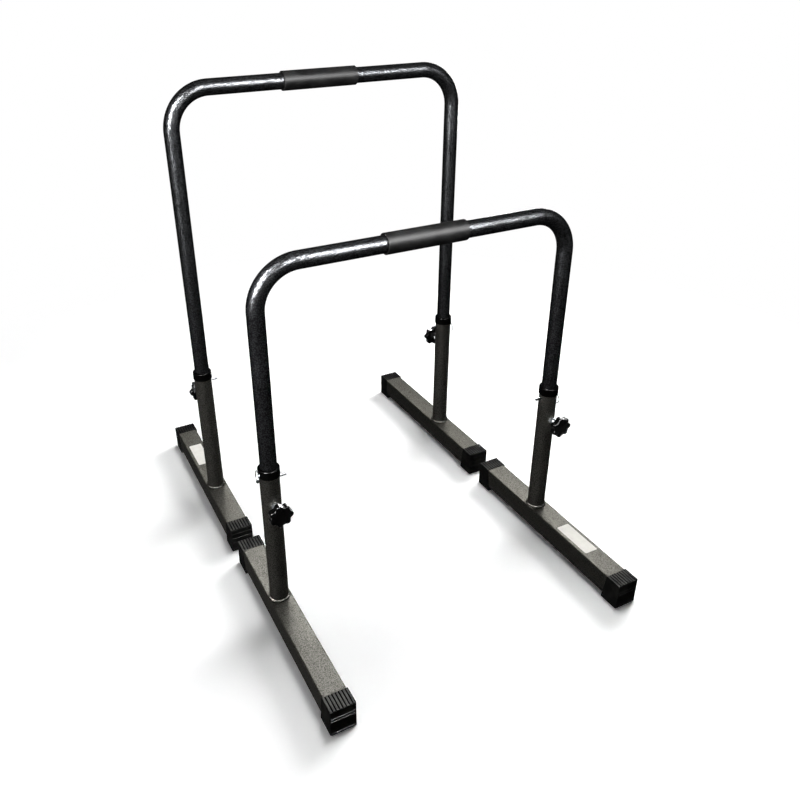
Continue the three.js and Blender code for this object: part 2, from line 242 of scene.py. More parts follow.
def platedSteel(name, bright, dull, rough, mirrorShare):
    # Electroplate on steel: bright, with a slightly cloudy film and faint drawing marks. Only a share of it
    # mirrors as metal and the rest is a dark base colour, a painted reflection of dark surroundings, so that
    # a thin wire still reads dark against white surroundings.
    material, tree = newMaterial(name)
    spot = addNode(tree, "ShaderNodeTexCoord").outputs["Object"]
    cloud = addNode(
        tree, "ShaderNodeTexNoise",
        {"Scale": perMetre(platedSizes["cloud"]), "Detail": 3.0},
        {"Vector": spot},
    )
    marks = addNode(
        tree, "ShaderNodeTexNoise",
        {"Scale": perMetre(platedSizes["marks"]), "Detail": 1.0},
        {"Vector": spot},
    )
    tone = twoColours(tree, cloud.outputs["Fac"], bright, dull, 0.35, 0.75)
    gloss = addNode(
        tree, "ShaderNodeMapRange", {"To Min": rough - 0.06, "To Max": rough + 0.1},
        {"Value": marks.outputs["Fac"]},
    )
    shader = addNode(
        tree, "ShaderNodeBsdfPrincipled",
        {"Metallic": mirrorShare, "Specular IOR Level": 0.05},
        {"Base Color": tone, "Roughness": gloss.outputs["Result"]},
    )
    closeMaterial(tree, shader.outputs["BSDF"])
    return material


vinylSizes = {"wrinkle": 14, "wrinkleDepth": 0.05}


def labelVinyl():
    # Printed vinyl sticker: matt white with a thin soft gloss, left without any print
    material, tree = newMaterial("labelVinyl")
    spot = addNode(tree, "ShaderNodeTexCoord").outputs["Object"]
    wrinkle = addNode(
        tree, "ShaderNodeTexNoise", {"Scale": perMetre(vinylSizes["wrinkle"]), "Detail": 2.0},
        {"Vector": spot},
    )
    tone = twoColours(tree, wrinkle.outputs["Fac"], "dddbd4", "e8e6e0", 0.3, 0.7)
    relief = addNode(
        tree, "ShaderNodeBump", {"Strength": 0.3, "Distance": vinylSizes["wrinkleDepth"] * mm},
        {"Height": wrinkle.outputs["Fac"]},
    )
    shader = addNode(
        tree, "ShaderNodeBsdfPrincipled", {"Roughness": 0.6, "Specular IOR Level": 0.01},
        {"Base Color": tone, "Normal": relief.outputs["Normal"]},
    )
    closeMaterial(tree, shader.outputs["BSDF"])
    return material


# Each finish is a material with the slot of the record that it stands for. The handles are a darker copy of
# the bases' enamel, a painted shade for the little light their tubes catch, and are a little smoother. A cap
# shines on its rubbed ridges and is painted darker in the grooves between its ribs, a painted shade where
# less light falls, and the paint over a weld has little flake.
finishes = {
    "paint": (hammeredEnamel("hammeredEnamel", "53524e", "2f2e2b", 0.135, 0.31), "hammered_paint"),
    # painted shade: the handles take a darker copy of the same enamel
    "shadedLegPaint": (hammeredEnamel("shadedLegEnamel", "292a2b", "121213", 0.35, 0.29, 1.6), "hammered_paint"),
    "grip": (mouldedPolymer("foamRubber", "202020", "262626", 0.46, 0.0, 2.0, 0.044), "grip_rubber"),
    "bush": (mouldedPolymer("glossNylon", "0c0c0c", "101010", 0.2, 0.0, 0.5, 0.07), "moulded_plastic"),
    "knob": (mouldedPolymer("satinNylon", "050505", "090909", 0.22, 0.012), "knob_plastic"),
    "cap": (mouldedPolymer("softPolythene", "1a1a1a", "222221", 0.3, 0.0, 1.5, 0.09), "cap_plastic"),
    "ridge": (mouldedPolymer("rubbedPolythene", "1b1b1b", "222221", 0.2, 0.03, 0.5), "cap_plastic"),
    # painted shade: a darker, duller colour for the grooves between the cap ribs
    "groove": (mouldedPolymer("shadedGroovePolythene", "090909", "0e0e0e", 0.55, 0.0, 2.0), "cap_plastic"),
    "weld": (hammeredEnamel("enamelOverWeld", "454441", "1f1f1d", 0.16, 0.27), "weld_metal"),
    "zinc": (platedSteel("brightZinc", "85888a", "5c5f61", 0.2, 0.35), "zinc_plate"),
    # painted reflection: a dark base stands in for the dark surroundings that the chrome would mirror
    "steel": (platedSteel("brightChrome", "3a3b3d", "222324", 0.14, 0.12), "bright_steel"),
    "label": (labelVinyl(), "label_vinyl"),
}
print("materials made:", len(finishes))


# Mesh tools

mergeDistance = 0.0005
sharpDegrees = 32


def rounded(corners, steps=6):
    # a closed outline through (x, y, radius) corners, each rounded by its radius
    outline = []
    for i, (x, y, radius) in enumerate(corners):
        here = Vector((x, y))
        if not radius:
            outline.append(here)
            continue
        before = (Vector(corners[i - 1][:2]) - here).normalized()
        after = (Vector(corners[(i + 1) % len(corners)][:2]) - here).normalized()
        half = before.angle(after) / 2
        centre = here + (before + after).normalized() * radius / math.sin(half)
        start = here + before * radius / math.tan(half) - centre
        sweep = math.pi - 2 * half
        if before.x * after.y - before.y * after.x > 0:
            sweep = -sweep
        for step in range(steps + 1):
            turn = sweep * step / steps
            x1 = start.x * math.cos(turn) - start.y * math.sin(turn)
            y1 = start.x * math.sin(turn) + start.y * math.cos(turn)
            outline.append(centre + Vector((x1, y1)))
    return outline


def skin(rings, closed):
    # joins rings of equally many points; a closed skin joins its last ring to its first, and an open one has
    # end faces
    work = bmesh.new()
    rows = [[work.verts.new(point) for point in ring] for ring in rings]
    following = rows[1:] + rows[:1] if closed else rows[1:]
    for low, high in zip(rows, following):
        for i in range(len(low)):
            j = (i + 1) % len(low)
            work.faces.new((low[i], low[j], high[j], high[i]))
    if not closed:
        work.faces.new(rows[0])
        work.faces.new(rows[-1])
    bmesh.ops.remove_doubles(work, verts=work.verts[:], dist=mergeDistance)
    bmesh.ops.recalc_face_normals(work, faces=work.faces[:])
    mesh = bpy.data.meshes.new("skin")
    work.to_mesh(mesh)
    work.free()
    return mesh


def circle(radius, height, sides):
    turns = [fullTurn * i / sides for i in range(sides)]
    return [Vector((radius * math.cos(a), radius * math.sin(a), height)) for a in turns]


def turned(profile, sides, closed=True):
    # a profile of (radius, height) points turned about z
    return skin([circle(radius, height, sides) for radius, height in profile], closed)


def rod(radius, start, end, sides, way="z"):
    mesh = turned([(radius, start), (radius, end)], sides, closed=False)
    if way == "x":
        mesh.transform(Matrix.Rotation(math.pi / 2, 4, "Y"))
    elif way == "y":
        mesh.transform(Matrix.Rotation(-math.pi / 2, 4, "X"))
    return mesh


def shifted(mesh, x=0, y=0, z=0):
    mesh.transform(Matrix.Translation((x, y, z)))
    return mesh


def joined(meshes):
    work = bmesh.new()
    for mesh in meshes:
        work.from_mesh(mesh)
    result = bpy.data.meshes.new("joined")
    work.to_mesh(result)
    work.free()
    return result


def carved(mesh, *cuts):
    # applies booleans one after another: each cut is an operation and the mesh that it uses
    blank = bpy.data.objects.new("blank", mesh)
    bpy.context.scene.collection.objects.link(blank)
    tools = []
    for operation, toolMesh in cuts:
        tool = bpy.data.objects.new("tool", toolMesh)
        bpy.context.scene.collection.objects.link(tool)
        cut = blank.modifiers.new("cut", "BOOLEAN")
        cut.operation = operation
        cut.solver = "EXACT"
        cut.object = tool
        tools.append(tool)
    bpy.context.view_layer.update()
    depsgraph = bpy.context.evaluated_depsgraph_get()
    result = bpy.data.meshes.new_from_object(blank.evaluated_get(depsgraph))
    for leftover in [blank, *tools]:
        bpy.data.objects.remove(leftover)
    return result


def shadeSmooth(mesh):
    work = bmesh.new()
    work.from_mesh(mesh)
    for face in work.faces:
        face.smooth = True
    for edge in work.edges:
        edge.smooth = edge.calc_face_angle(0) < math.radians(sharpDegrees)
    work.to_mesh(mesh)
    work.free()


def addPiece(name, mesh, place, finish, body, node=None, edge=0, others=()):
    # place is in millimetres; edge is the width of a small bevel on what is still sharp; others are the
    # finishes of the faces that the mesh gives another index
    own = mesh.copy()
    own.transform(Matrix.Scale(mm, 4) @ place)
    shadeSmooth(own)
    for kind in (finish, *others):
        own.materials.append(finishes[kind][0])
    piece = bpy.data.objects.new(name, own)
    bpy.context.scene.collection.objects.link(piece)
    if edge:
        bevel = piece.modifiers.new("softEdge", "BEVEL")
        bevel.width = edge * mm
        bevel.segments = 3
        bevel.limit_method = "ANGLE"
        bevel.angle_limit = math.radians(sharpDegrees)
        bevel.harden_normals = True
    else:
        even = piece.modifiers.new("evenShading", "WEIGHTED_NORMAL")
        even.keep_sharp = True
    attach(piece, body)
    if node:
        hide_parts(node)


def boxOf(node):
    low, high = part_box(node)
    return low / mm, high / mm


def middle(node):
    low, high = boxOf(node)
    return (low + high) / 2


def baseOf(post):
    return post.split("_")[0] + "_base"


def standPlace(post):
    # the post's axis on the floor, turned so that its knob faces -y
    axis = middle(post + "_post")
    turn = Matrix() if middle(post + "_knob").y < axis.y else halfTurn
    return Matrix.Translation((axis.x, axis.y, 0)) @ turn


def lockPlace(post):
    # the pin's axis along x, with its eye head at +x
    axis = middle(post + "_post")
    pin = middle(post + "_lock_pin")
    turn = Matrix() if middle(post + "_pull_ring").x > axis.x else halfTurn
    return Matrix.Translation((axis.x, axis.y, pin.z)) @ turn


def clampPlace(post):
    # the screw's axis along z, which points out of the post
    height = middle(post + "_knob").z
    return standPlace(post) @ Matrix.Translation((0, 0, height)) @ Matrix.Rotation(math.pi / 2, 4, "X")


# Bar and legs

handleSizes = {
    "wall": 2, "bendRadius": 84, "holeDiameter": 7, "firstHoleDrop": 431, "holePitch": 38.5, "holes": 7,
    "holeMargin": 7, "sides": 64, "bendSteps": 30, "holeSides": 32,
}


def bentTube(node):
    s = handleSizes
    low, high = boxOf(node)
    radius = legRadius
    spacing = high.x - low.x - 2 * radius
    barHeight = high.z - radius
    bend = s["bendRadius"]
    drops = [s["firstHoleDrop"] + i * s["holePitch"] for i in range(s["holes"])]
    marks = sorted([d + m for d in drops for m in (-s["holeMargin"], s["holeMargin"])], reverse=True)
    half = spacing / 2
    stations = [((-half, -d), (1, 0)) for d in [barHeight - low.z, *marks]]
    for step in range(s["bendSteps"] + 1):
        turn = math.pi / 2 * step / s["bendSteps"]
        inward = (math.cos(turn), -math.sin(turn))
        stations.append(((bend - half - bend * inward[0], -bend - bend * inward[1]), inward))
    stations += [((-x, z), (-nx, nz)) for (x, z), (nx, nz) in reversed(stations)]

    def rings(reach):
        made = []
        for (x, z), (nx, nz) in stations:
            ring = []
            for i in range(s["sides"]):
                a = fullTurn * i / s["sides"]
                out, side = reach * math.cos(a), reach * math.sin(a)
                ring.append(Vector((x + nx * out, side, z + nz * out)))
            made.append(ring)
        return made

    tube = skin(rings(radius) + rings(radius - s["wall"])[::-1], closed=True)
    drills = []
    for side in (-half, half):
        for drop in drops:
            drill = rod(s["holeDiameter"] / 2, -radius - overrun, radius + overrun, s["holeSides"], "x")
            drills.append(shifted(drill, x=side, z=-drop))
    tube = carved(tube, ("DIFFERENCE", joined(drills)))
    centre = (low + high) / 2
    return tube, Matrix.Translation((centre.x, centre.y, barHeight))


gripSizes = {"wall": 3.2, "edge": 1.4, "innerEdge": 0.5, "sides": 96}


def gripSleeve(node):
    s = gripSizes
    low, high = boxOf(node)
    inner = legRadius + clearance
    outer = inner + s["wall"]
    half = (high.x - low.x) / 2
    profile = rounded([
        (inner, -half, s["innerEdge"]), (outer, -half, s["edge"]),
        (outer, half, s["edge"]), (inner, half, s["innerEdge"]),
    ])
    mesh = turned([tuple(p) for p in profile], s["sides"])
    mesh.transform(Matrix.Rotation(math.pi / 2, 4, "Y"))
    return mesh, Matrix.Translation((low + high) / 2)


for name in ("front", "rear"):
    tube, place = bentTube(name + "_upper_frame")
    addPiece(name + "_bent_tube", tube, place, "shadedLegPaint", name + "_handle", name + "_upper_frame")
    sleeve, place = gripSleeve(name + "_grip_sleeve")
    addPiece(name + "_rubber_sleeve", sleeve, place, "grip", name + "_handle", name + "_grip_sleeve")
print("bars made")


# Posts

postSizes = {"pinHole": 7, "studHole": 8.6, "holeMargin": 3.5, "sides": 64, "holeSides": 32}


def postTube(post):
    s = postSizes
    low, high = boxOf(post + "_post")
    bottom, top = low.z, high.z
    pinHeight = middle(post + "_lock_pin").z
    knobHeight = middle(post + "_knob").z
    levels = [bottom]
    for height, hole in ((knobHeight, s["studHole"]), (pinHeight, s["pinHole"])):
        levels += [height - hole / 2 - s["holeMargin"], height + hole / 2 + s["holeMargin"]]
    levels.append(top)
    profile = [(postRadius, z) for z in levels] + [(postBore, z) for z in levels[::-1]]
    tube = turned(profile, s["sides"])
    reach = postRadius + overrun
    pinDrill = shifted(rod(s["pinHole"] / 2, -reach, reach, s["holeSides"], "x"), z=pinHeight)
    studDrill = shifted(rod(s["studHole"] / 2, -reach, 0, s["holeSides"], "y"), z=knobHeight)
    return carved(tube, ("DIFFERENCE", pinDrill), ("DIFFERENCE", studDrill))


weldSizes = {
    "inner": 20.1, "width": 3.6, "height": 4.6, "ripple": 2.1, "rippleDepth": 0.32, "crest": 0.35,
    "wander": 0.35, "bulge": 0.8, "sides": 240, "arcSteps": 8,
}


def weldBead(post, seed):
    # overlapping ripples, as the torch left them, with a wandering toe
    s = weldSizes
    bottom = boxOf(post + "_weld_bead")[0].z
    dice = random.Random(seed)
    waves = [(dice.uniform(0, fullTurn), k) for k in (2, 3, 5)]
    ripples = round(fullTurn * (s["inner"] + s["width"] / 2) / s["ripple"])
    columns = []
    for i in range(s["sides"]):
        a = fullTurn * i / s["sides"]
        wander = sum(math.sin(k * a + phase) for phase, k in waves) / len(waves)
        saw = (a / fullTurn * ripples) % 1
        swell = 1 - s["rippleDepth"] / s["width"] * 2 * abs(saw - s["crest"])
        width = (s["width"] + s["wander"] * wander) * swell
        height = (s["height"] + s["wander"] * wander) * swell
        column = [Vector((s["inner"] * math.cos(a), s["inner"] * math.sin(a), bottom))]
        for step in range(s["arcSteps"] + 1):
            turn = math.pi / 2 * step / s["arcSteps"]
            r = s["inner"] + width * math.cos(turn) ** s["bulge"]
            z = bottom + height * math.sin(turn) ** s["bulge"]
            column.append(Vector((r * math.cos(a), r * math.sin(a), z)))
        columns.append(column)
    return skin(list(zip(*columns)), closed=True)


collarSizes = {"skirtWall": 1.4, "crown": 3.7, "rim": 2.6, "throat": 0.9, "hem": 0.6, "sides": 96}


def collarBush(post):
    # a sleeve between the tubes and a skirt outside the post, joined by a round-edged crown
    s = collarSizes
    low, high = boxOf(post + "_collar")
    under = high.z - s["crown"]
    bore = legRadius + clearance
    sleeve = postBore - clearance
    inner = postRadius + clearance
    outer = inner + s["skirtWall"]
    profile = rounded([
        (bore, low.z, 0), (sleeve, low.z, 0), (sleeve, under, 0), (inner, under, 0),
        (inner, low.z, 0), (outer, low.z, s["hem"]), (outer, high.z, s["rim"]), (bore, high.z, s["throat"]),
    ], steps=8)
    return turned([tuple(p) for p in profile], s["sides"])


footSizes = {"size": 50, "wall": 2, "corner": 3}


def footTube(post):
    s = footSizes
    low, high = boxOf(post + "_foot")
    axis = middle(post + "_post")
    half = s["size"] / 2
    centreHeight = (low.z + high.z) / 2
    near, far = low.y - axis.y, high.y - axis.y
    if middle(post + "_knob").y > axis.y:
        near, far = -far, -near
    inner = half - s["wall"]
    bore = s["corner"] - s["wall"]
    square = [(-1, -1), (1, -1), (1, 1), (-1, 1)]
    outerRing = rounded([(x * half, z * half, s["corner"]) for x, z in square])
    innerRing = rounded([(x * inner, z * inner, bore) for x, z in square])
    rings = []
    for ring, y in ((outerRing, near), (outerRing, far), (innerRing, far), (innerRing, near)):
        rings.append([Vector((p.x, y, p.y + centreHeight)) for p in ring])
    return skin(rings, closed=True)


# Shoe caps on the ends of the feet

capSizes = {
    "width": 54, "top": 62.8, "sole": 10.7, "edge": 2, "topLength": 37, "soleLength": 45, "endWall": 4,
    "ribs": 8, "ribHeight": 1.3, "ribSteps": 12, "ribFlatness": 3.2, "ridge": 0.6, "ridgeInset": 3,
    "ridgeSides": 16, "socket": 50.6, "socketCorner": 3.3, "socketMiddle": 36, "frontRound": 2.2,
    "frontSteps": 5, "rimRound": 0.5,
}
# A groove is what faces up at least this much and lies more than this share of a rib below the rib tops;
# these faces get a darker finish, a painted shade
grooveFacing = 0.2
grooveShare = 0.3
# Heights of the ridges on the end of a cap, as shares of its height
outerRidgeShares = (0.1, 0.585, 0.7)
innerRidgeShares = (0.1, 0.4, 0.6, 0.8)


def capOutline():
    s = capSizes
    half = s["width"] / 2
    valley = s["top"] - s["ribHeight"]
    pitch = s["width"] / s["ribs"]
    corners = [(-half, 0, s["edge"]), (half, 0, s["edge"]), (half, valley, 0), (-half, valley, 0)]
    outline = rounded(corners)[:-1]
    for rib in range(s["ribs"]):
        x = half - (rib + 0.5) * pitch
        for step in range(1, s["ribSteps"] + 1):
            across = 1 - 2 * step / s["ribSteps"]
            drop = s["ribHeight"] * abs(across) ** s["ribFlatness"]
            outline.append(Vector((x + across * pitch / 2, s["top"] - drop)))
    return outline


def onSocket(point):
    # where the line from the middle of the socket to this point leaves the socket's rounded square
    s = capSizes
    half, corner = s["socket"] / 2, s["socketCorner"]
    way = Vector((point.x, point.y - s["socketMiddle"]))
    hit = way * half / max(abs(way.x), abs(way.y))
    core = half - corner
    if abs(hit.x) > core and abs(hit.y) > core:
        centre = Vector((math.copysign(core, hit.x), math.copysign(core, hit.y)))
        unit = way.normalized()
        along = centre.dot(unit)
        hit = unit * (along + math.sqrt(along ** 2 - centre.length_squared + corner ** 2))
    return Vector((hit.x, hit.y + s["socketMiddle"]))


def shoeCap(ridgeShares):
    s = capSizes
    outline = capOutline()
    centre = s["top"] / 2

    def endAt(z):
        share = max(0, (z - s["sole"]) / (s["top"] - s["sole"]))
        return s["soleLength"] + share * (s["topLength"] - s["soleLength"])

    def inset(point, depth):
        wide = 1 - depth / (s["width"] / 2)
        tall = 1 - depth / centre
        return Vector((point.x * wide, centre + (point.y - centre) * tall))

    rings = []
    for step in range(s["frontSteps"], -1, -1):
        turn = math.pi / 2 * step / s["frontSteps"]
        y = s["frontRound"] * (1 - math.sin(turn))
        depth = s["frontRound"] * (1 - math.cos(turn))
        rings.append([Vector((p.x, y, p.y)) for p in (inset(q, depth) for q in outline)])
    rim = [inset(p, s["rimRound"]) for p in outline]
    hole = [onSocket(p) for p in outline]
    rings.append([Vector((p.x, endAt(p.y) - s["rimRound"], p.y)) for p in outline])
    for edge in (rim, hole):
        rings.append([Vector((p.x, endAt(q.y), p.y)) for p, q in zip(edge, outline)])
    rings.append([Vector((p.x, s["endWall"], p.y)) for p in hole])
    cap = skin(rings, closed=False)
    half = s["width"] / 2 - s["ridgeInset"]
    ridges = []
    for share in ridgeShares:
        ridges.append(shifted(rod(s["ridge"], -half, half, s["ridgeSides"], "x"), z=share * s["top"]))
    cap = carved(cap, ("UNION", joined(ridges)))
    # faces of index 2 lie in the grooves and get the darker finish, a painted shade
    for face in cap.polygons:
        drop = (s["top"] - face.center.z) / s["ribHeight"]
        # a ridge is what stands in front of the flat end
        if face.center.y < -s["ridge"] / 10:
            face.material_index = 1
        elif face.normal.z > grooveFacing and grooveShare < drop < 1:
            face.material_index = 2
    return cap


outerCap = shoeCap(outerRidgeShares)
innerCap = shoeCap(innerRidgeShares)

for index, post in enumerate(posts):
    base = baseOf(post)
    stand = standPlace(post)
    addPiece(post + "_post_tube", postTube(post), stand, "paint", base, post + "_post")
    addPiece(post + "_weld_ripples", weldBead(post, index + 1), stand, "weld", base, post + "_weld_bead")
    addPiece(post + "_bush", collarBush(post), stand, "bush", base, post + "_collar")
    addPiece(post + "_foot_tube", footTube(post), stand, "paint", base, post + "_foot")
    axis = middle(post + "_post")
    for kind, cap, away, ridges, turn in (
        ("outer", outerCap, -1, "ridge", Matrix()), ("inner", innerCap, 1, "cap", halfTurn),
    ):
        node = f"{post}_{kind}_cap"
        low, high = boxOf(node)
        fromAxis = max(abs(low.y - axis.y), abs(high.y - axis.y)) - capSizes["ridge"]
        place = stand @ Matrix.Translation((0, away * fromAxis, 0)) @ turn
        addPiece(f"{post}_{kind}_shoe", cap, place, "cap", base, node, others=(ridges, "groove"))
print("posts and feet made")


# Locking pins and pull rings

pinSizes = {
    "diameter": 6, "innerReach": 35, "tipRound": 2, "headReach": 24, "headDiameter": 7, "headSteps": 24,
    "neckInHead": 0.4, "neckRound": 0.5, "eyeThickness": 4.4, "eyeDiameter": 3, "sides": 40, "slabSides": 32,
    "eyeSides": 24,
}


def lockPin():
    s = pinSizes
    radius = s["diameter"] / 2
    headRadius = s["headDiameter"] / 2
    neck = s["headReach"] - headRadius + s["neckInHead"]
    profile = rounded([
        (0, -s["innerReach"], 0), (radius, -s["innerReach"], s["tipRound"]),
        (radius, neck, s["neckRound"]), (0, neck, 0),
    ], steps=8)
    shank = turned([tuple(p) for p in profile], s["sides"])
    shank.transform(Matrix.Rotation(math.pi / 2, 4, "Y"))
    turns = [math.pi * i / s["headSteps"] for i in range(s["headSteps"] + 1)]
    arc = [(headRadius * math.sin(a), -headRadius * math.cos(a)) for a in turns]
    head = shifted(turned(arc, s["sides"]), x=s["headReach"])
    cheek = s["eyeThickness"] / 2
    slab = shifted(rod(s["headDiameter"], -cheek, cheek, s["slabSides"], "y"), x=s["headReach"])
    eye = rod(s["eyeDiameter"] / 2, -headRadius, headRadius, s["eyeSides"], "y")
    eye = shifted(eye, x=s["headReach"])
    head = carved(head, ("INTERSECT", slab))
    return carved(shank, ("UNION", head), ("DIFFERENCE", eye))


ringSizes = {"diameter": 25, "wire": 2, "around": 96, "wireSides": 16}


def pullRing():
    # wire bent round in the plane x = 0, hanging from the origin
    s = ringSizes
    reach = (s["diameter"] - s["wire"]) / 2
    half = s["wire"] / 2
    rings = []
    for i in range(s["around"]):
        a = fullTurn * i / s["around"]
        out = Vector((0, math.sin(a), math.cos(a)))
        ring = []
        for k in range(s["wireSides"]):
            b = fullTurn * k / s["wireSides"]
            ring.append(out * (reach + half * math.cos(b)) + Vector((half * math.sin(b), 0, 0)))
        rings.append(ring)
    return shifted(skin(rings, closed=True), z=-reach)


def ringPlace(post):
    # from the eye of the pin towards the middle of the ring
    lock = lockPlace(post)
    eye = lock @ Vector((pinSizes["headReach"], 0, 0))
    hang = middle(post + "_pull_ring") - eye
    turn = math.atan2(-hang.x, -hang.z)
    return Matrix.Translation(eye) @ Matrix.Rotation(turn, 4, "Y")


# Clamping screws and knobs

screwSizes = {
    "diameter": 8, "pitch": 1.25, "threadDepth": 0.7, "flat": 0.125, "tip": 17, "end": 55, "tipChamfer": 1,
    "sides": 36, "stepsPerTurn": 8,
}


def threadedStud():
    s = screwSizes
    outer = s["diameter"] / 2
    length = s["end"] - s["tip"]
    count = round(length / s["pitch"] * s["stepsPerTurn"])
    rings = []
    for j in range(count + 1):
        z = s["tip"] + length * j / count
        fromEnd = min(z - s["tip"], s["end"] - z)
        limit = outer - max(0, s["tipChamfer"] - fromEnd)
        ring = []
        for i in range(s["sides"]):
            phase = (z / s["pitch"] - i / s["sides"]) % 1
            wave = min(1, max(0, abs(2 * phase - 1) * (1 + 2 * s["flat"]) - s["flat"]))
            r = min(limit, outer - s["threadDepth"] * (1 - wave))
            a = fullTurn * i / s["sides"]
            ring.append(Vector((r * math.cos(a), r * math.sin(a), z)))
        rings.append(ring)
    return skin(rings, closed=False)


nutSizes = {
    "flats": 13, "end": 27, "chamferHeight": 1.3, "chamferWidth": 1.2, "margin": 1, "bore": 8.6,
    "postSide": 20.3, "coneSides": 96, "boreSides": 32,
}


def weldNut():
    s = nutSizes
    corner = s["flats"] / 2 / math.cos(math.pi / 6)
    start, end = postBore, s["end"]
    wide, tip = corner + s["margin"], corner - s["chamferWidth"]
    hexagon = rod(corner, start, end, 6)
    profile = [(0, start), (wide, start), (wide, end - s["chamferHeight"]), (tip, end), (0, end)]
    cone = turned(profile, s["coneSides"])
    bore = rod(s["bore"] / 2, start - overrun, end + overrun, s["boreSides"])
    postSide = rod(s["postSide"], -s["flats"], s["flats"], s["coneSides"], "y")
    return carved(hexagon, ("INTERSECT", cone), ("DIFFERENCE", bore), ("DIFFERENCE", postSide))


knobSizes = {
    "hubEnd": 37, "back": 45, "front": 61, "crown": 2, "diameter": 50, "hubEndRadius": 9, "hubBaseRadius": 12,
    "lobes": 7, "lobeRadius": 6, "lobeDepth": 4.5, "frontRound": 3, "backRound": 1.5, "bore": 8.6,
    "boreDepth": 55.3, "boreChamfer": 0.4, "lobeSteps": 9, "hollowSteps": 7, "backSteps": 4, "frontSteps": 6,
    "crownSteps": 8,
}
# The rounded end and root of the hub, as steps outwards and forwards
hubEndRound = ((-1, 0), (-0.3, 0.3), (0, 1))
hubRoot = ((-0.5, -1.2), (0, -0.4), (1.2, 0))


def lobedOutline():
    # round lobes joined by round hollows, each arc tangent to the next
    s = knobSizes
    radius = s["diameter"] / 2
    lobeCentre = radius - s["lobeRadius"]
    valley = radius - s["lobeDepth"]
    halfPitch = math.pi / s["lobes"]
    lean = lobeCentre * math.cos(halfPitch)
    hollowRadius = ((lobeCentre ** 2 + valley ** 2 - 2 * valley * lean - s["lobeRadius"] ** 2)
                    / (2 * (s["lobeRadius"] + lean - valley)))
    hollowCentre = valley + hollowRadius
    across = hollowCentre * math.sin(halfPitch)
    along = hollowCentre * math.cos(halfPitch) - lobeCentre
    lobeTurn = math.atan2(across, along)
    hollowTurn = lobeTurn - halfPitch
    outline = []
    for lobe in range(s["lobes"]):
        heading = 2 * halfPitch * lobe
        for step in range(s["lobeSteps"]):
            a = heading + lobeTurn * (2 * step / s["lobeSteps"] - 1)
            outline.append(Vector((
                lobeCentre * math.cos(heading) + s["lobeRadius"] * math.cos(a),
                lobeCentre * math.sin(heading) + s["lobeRadius"] * math.sin(a),
            )))
        between = heading + halfPitch
        for step in range(s["hollowSteps"]):
            a = between + math.pi + hollowTurn * (1 - 2 * step / s["hollowSteps"])
            outline.append(Vector((
                hollowCentre * math.cos(between) + hollowRadius * math.cos(a),
                hollowCentre * math.sin(between) + hollowRadius * math.sin(a),
            )))
    return outline


def starKnob():
    s = knobSizes
    outline = lobedOutline()
    radius = s["diameter"] / 2
    hubEnd, back = s["hubEnd"], s["back"]
    shoulder = s["front"] - s["crown"]
    bore, chamfer = s["bore"] / 2, s["boreChamfer"]
    hub = [(0, s["boreDepth"]), (bore, s["boreDepth"]), (bore, hubEnd + chamfer), (bore + chamfer, hubEnd)]
    hub += [(s["hubEndRadius"] + out, hubEnd + along) for out, along in hubEndRound]
    hub += [(s["hubBaseRadius"] + out, back + along) for out, along in hubRoot]
    rings = [[Vector((*(p.normalized() * r), z)) for p in outline] for r, z in hub]

    def star(depth, z, share=1.0):
        rings.append([Vector((*(p * share * (radius - depth) / radius), z)) for p in outline])

    for step in range(s["backSteps"] + 1):
        turn = math.pi / 2 * step / s["backSteps"]
        star(s["backRound"] * (1 - math.sin(turn)), back + s["backRound"] * (1 - math.cos(turn)))
    for step in range(s["frontSteps"] + 1):
        turn = math.pi / 2 * step / s["frontSteps"]
        star(s["frontRound"] * (1 - math.cos(turn)), shoulder - s["frontRound"] * (1 - math.sin(turn)))
    for step in range(1, s["crownSteps"] + 1):
        share = 1 - step / s["crownSteps"]
        star(s["frontRound"], shoulder + s["crown"] * (1 - share ** 2), share)
    return skin(rings, closed=False)


pinMesh = lockPin()
ringMesh = pullRing()
studMesh = threadedStud()
nutMesh = weldNut()
knobMesh = starKnob()
for post in posts:
    lock = lockPlace(post)
    clamp = clampPlace(post)
    addPiece(post + "_pin_steel", pinMesh, lock, "steel", post + "_pin", post + "_lock_pin")
    addPiece(post + "_ring_wire", ringMesh, ringPlace(post), "steel", post + "_ring", post + "_pull_ring")
    addPiece(post + "_hex_nut", nutMesh, clamp, "zinc", baseOf(post), post + "_weld_nut", edge=0.15)
    addPiece(post + "_screw_thread", studMesh, clamp, "zinc", post + "_screw", post + "_stud")
    addPiece(post + "_star_knob", knobMesh, clamp, "knob", post + "_knob", post + "_knob")
    glide = frame["nodes"][post + "_glide"]
    glide.data.materials.clear()
    glide.data.materials.append(finishes["bush"][0])
print("pins, rings, screws and knobs made")


# Bare stickers on the feet

labelSizes = {"length": 100, "width": 33, "corner": 3, "lift": 0.02, "thickness": 0.2, "fromPost": 100}


def footLabel(post):
    s = labelSizes
    top = boxOf(post + "_foot")[1].z
    half = s["width"] / 2
    near, far = -s["fromPost"], -s["fromPost"] - s["length"]
    corners = ((-half, far), (half, far), (half, near), (-half, near))
    outline = rounded([(x, y, s["corner"]) for x, y in corners])
    rings = [[Vector((p.x, p.y, top + z)) for p in outline] for z in (s["lift"], s["thickness"])]
    return skin(rings, closed=False)


for post in ("front_right", "rear_left"):
    addPiece(post + "_foot_label", footLabel(post), standPlace(post), "label", baseOf(post))
print("labels made")


# Floor, world, lamps and camera

# The floor turns from lit paper to plain white between these distances from its middle, in metres. The paper
# gives back more than it gets, so that it is white where no shadow falls.
stageSizes = {"floorSize": 60, "whiteFrom": 0.9, "whiteTo": 2.0}
paperGain = 1.23


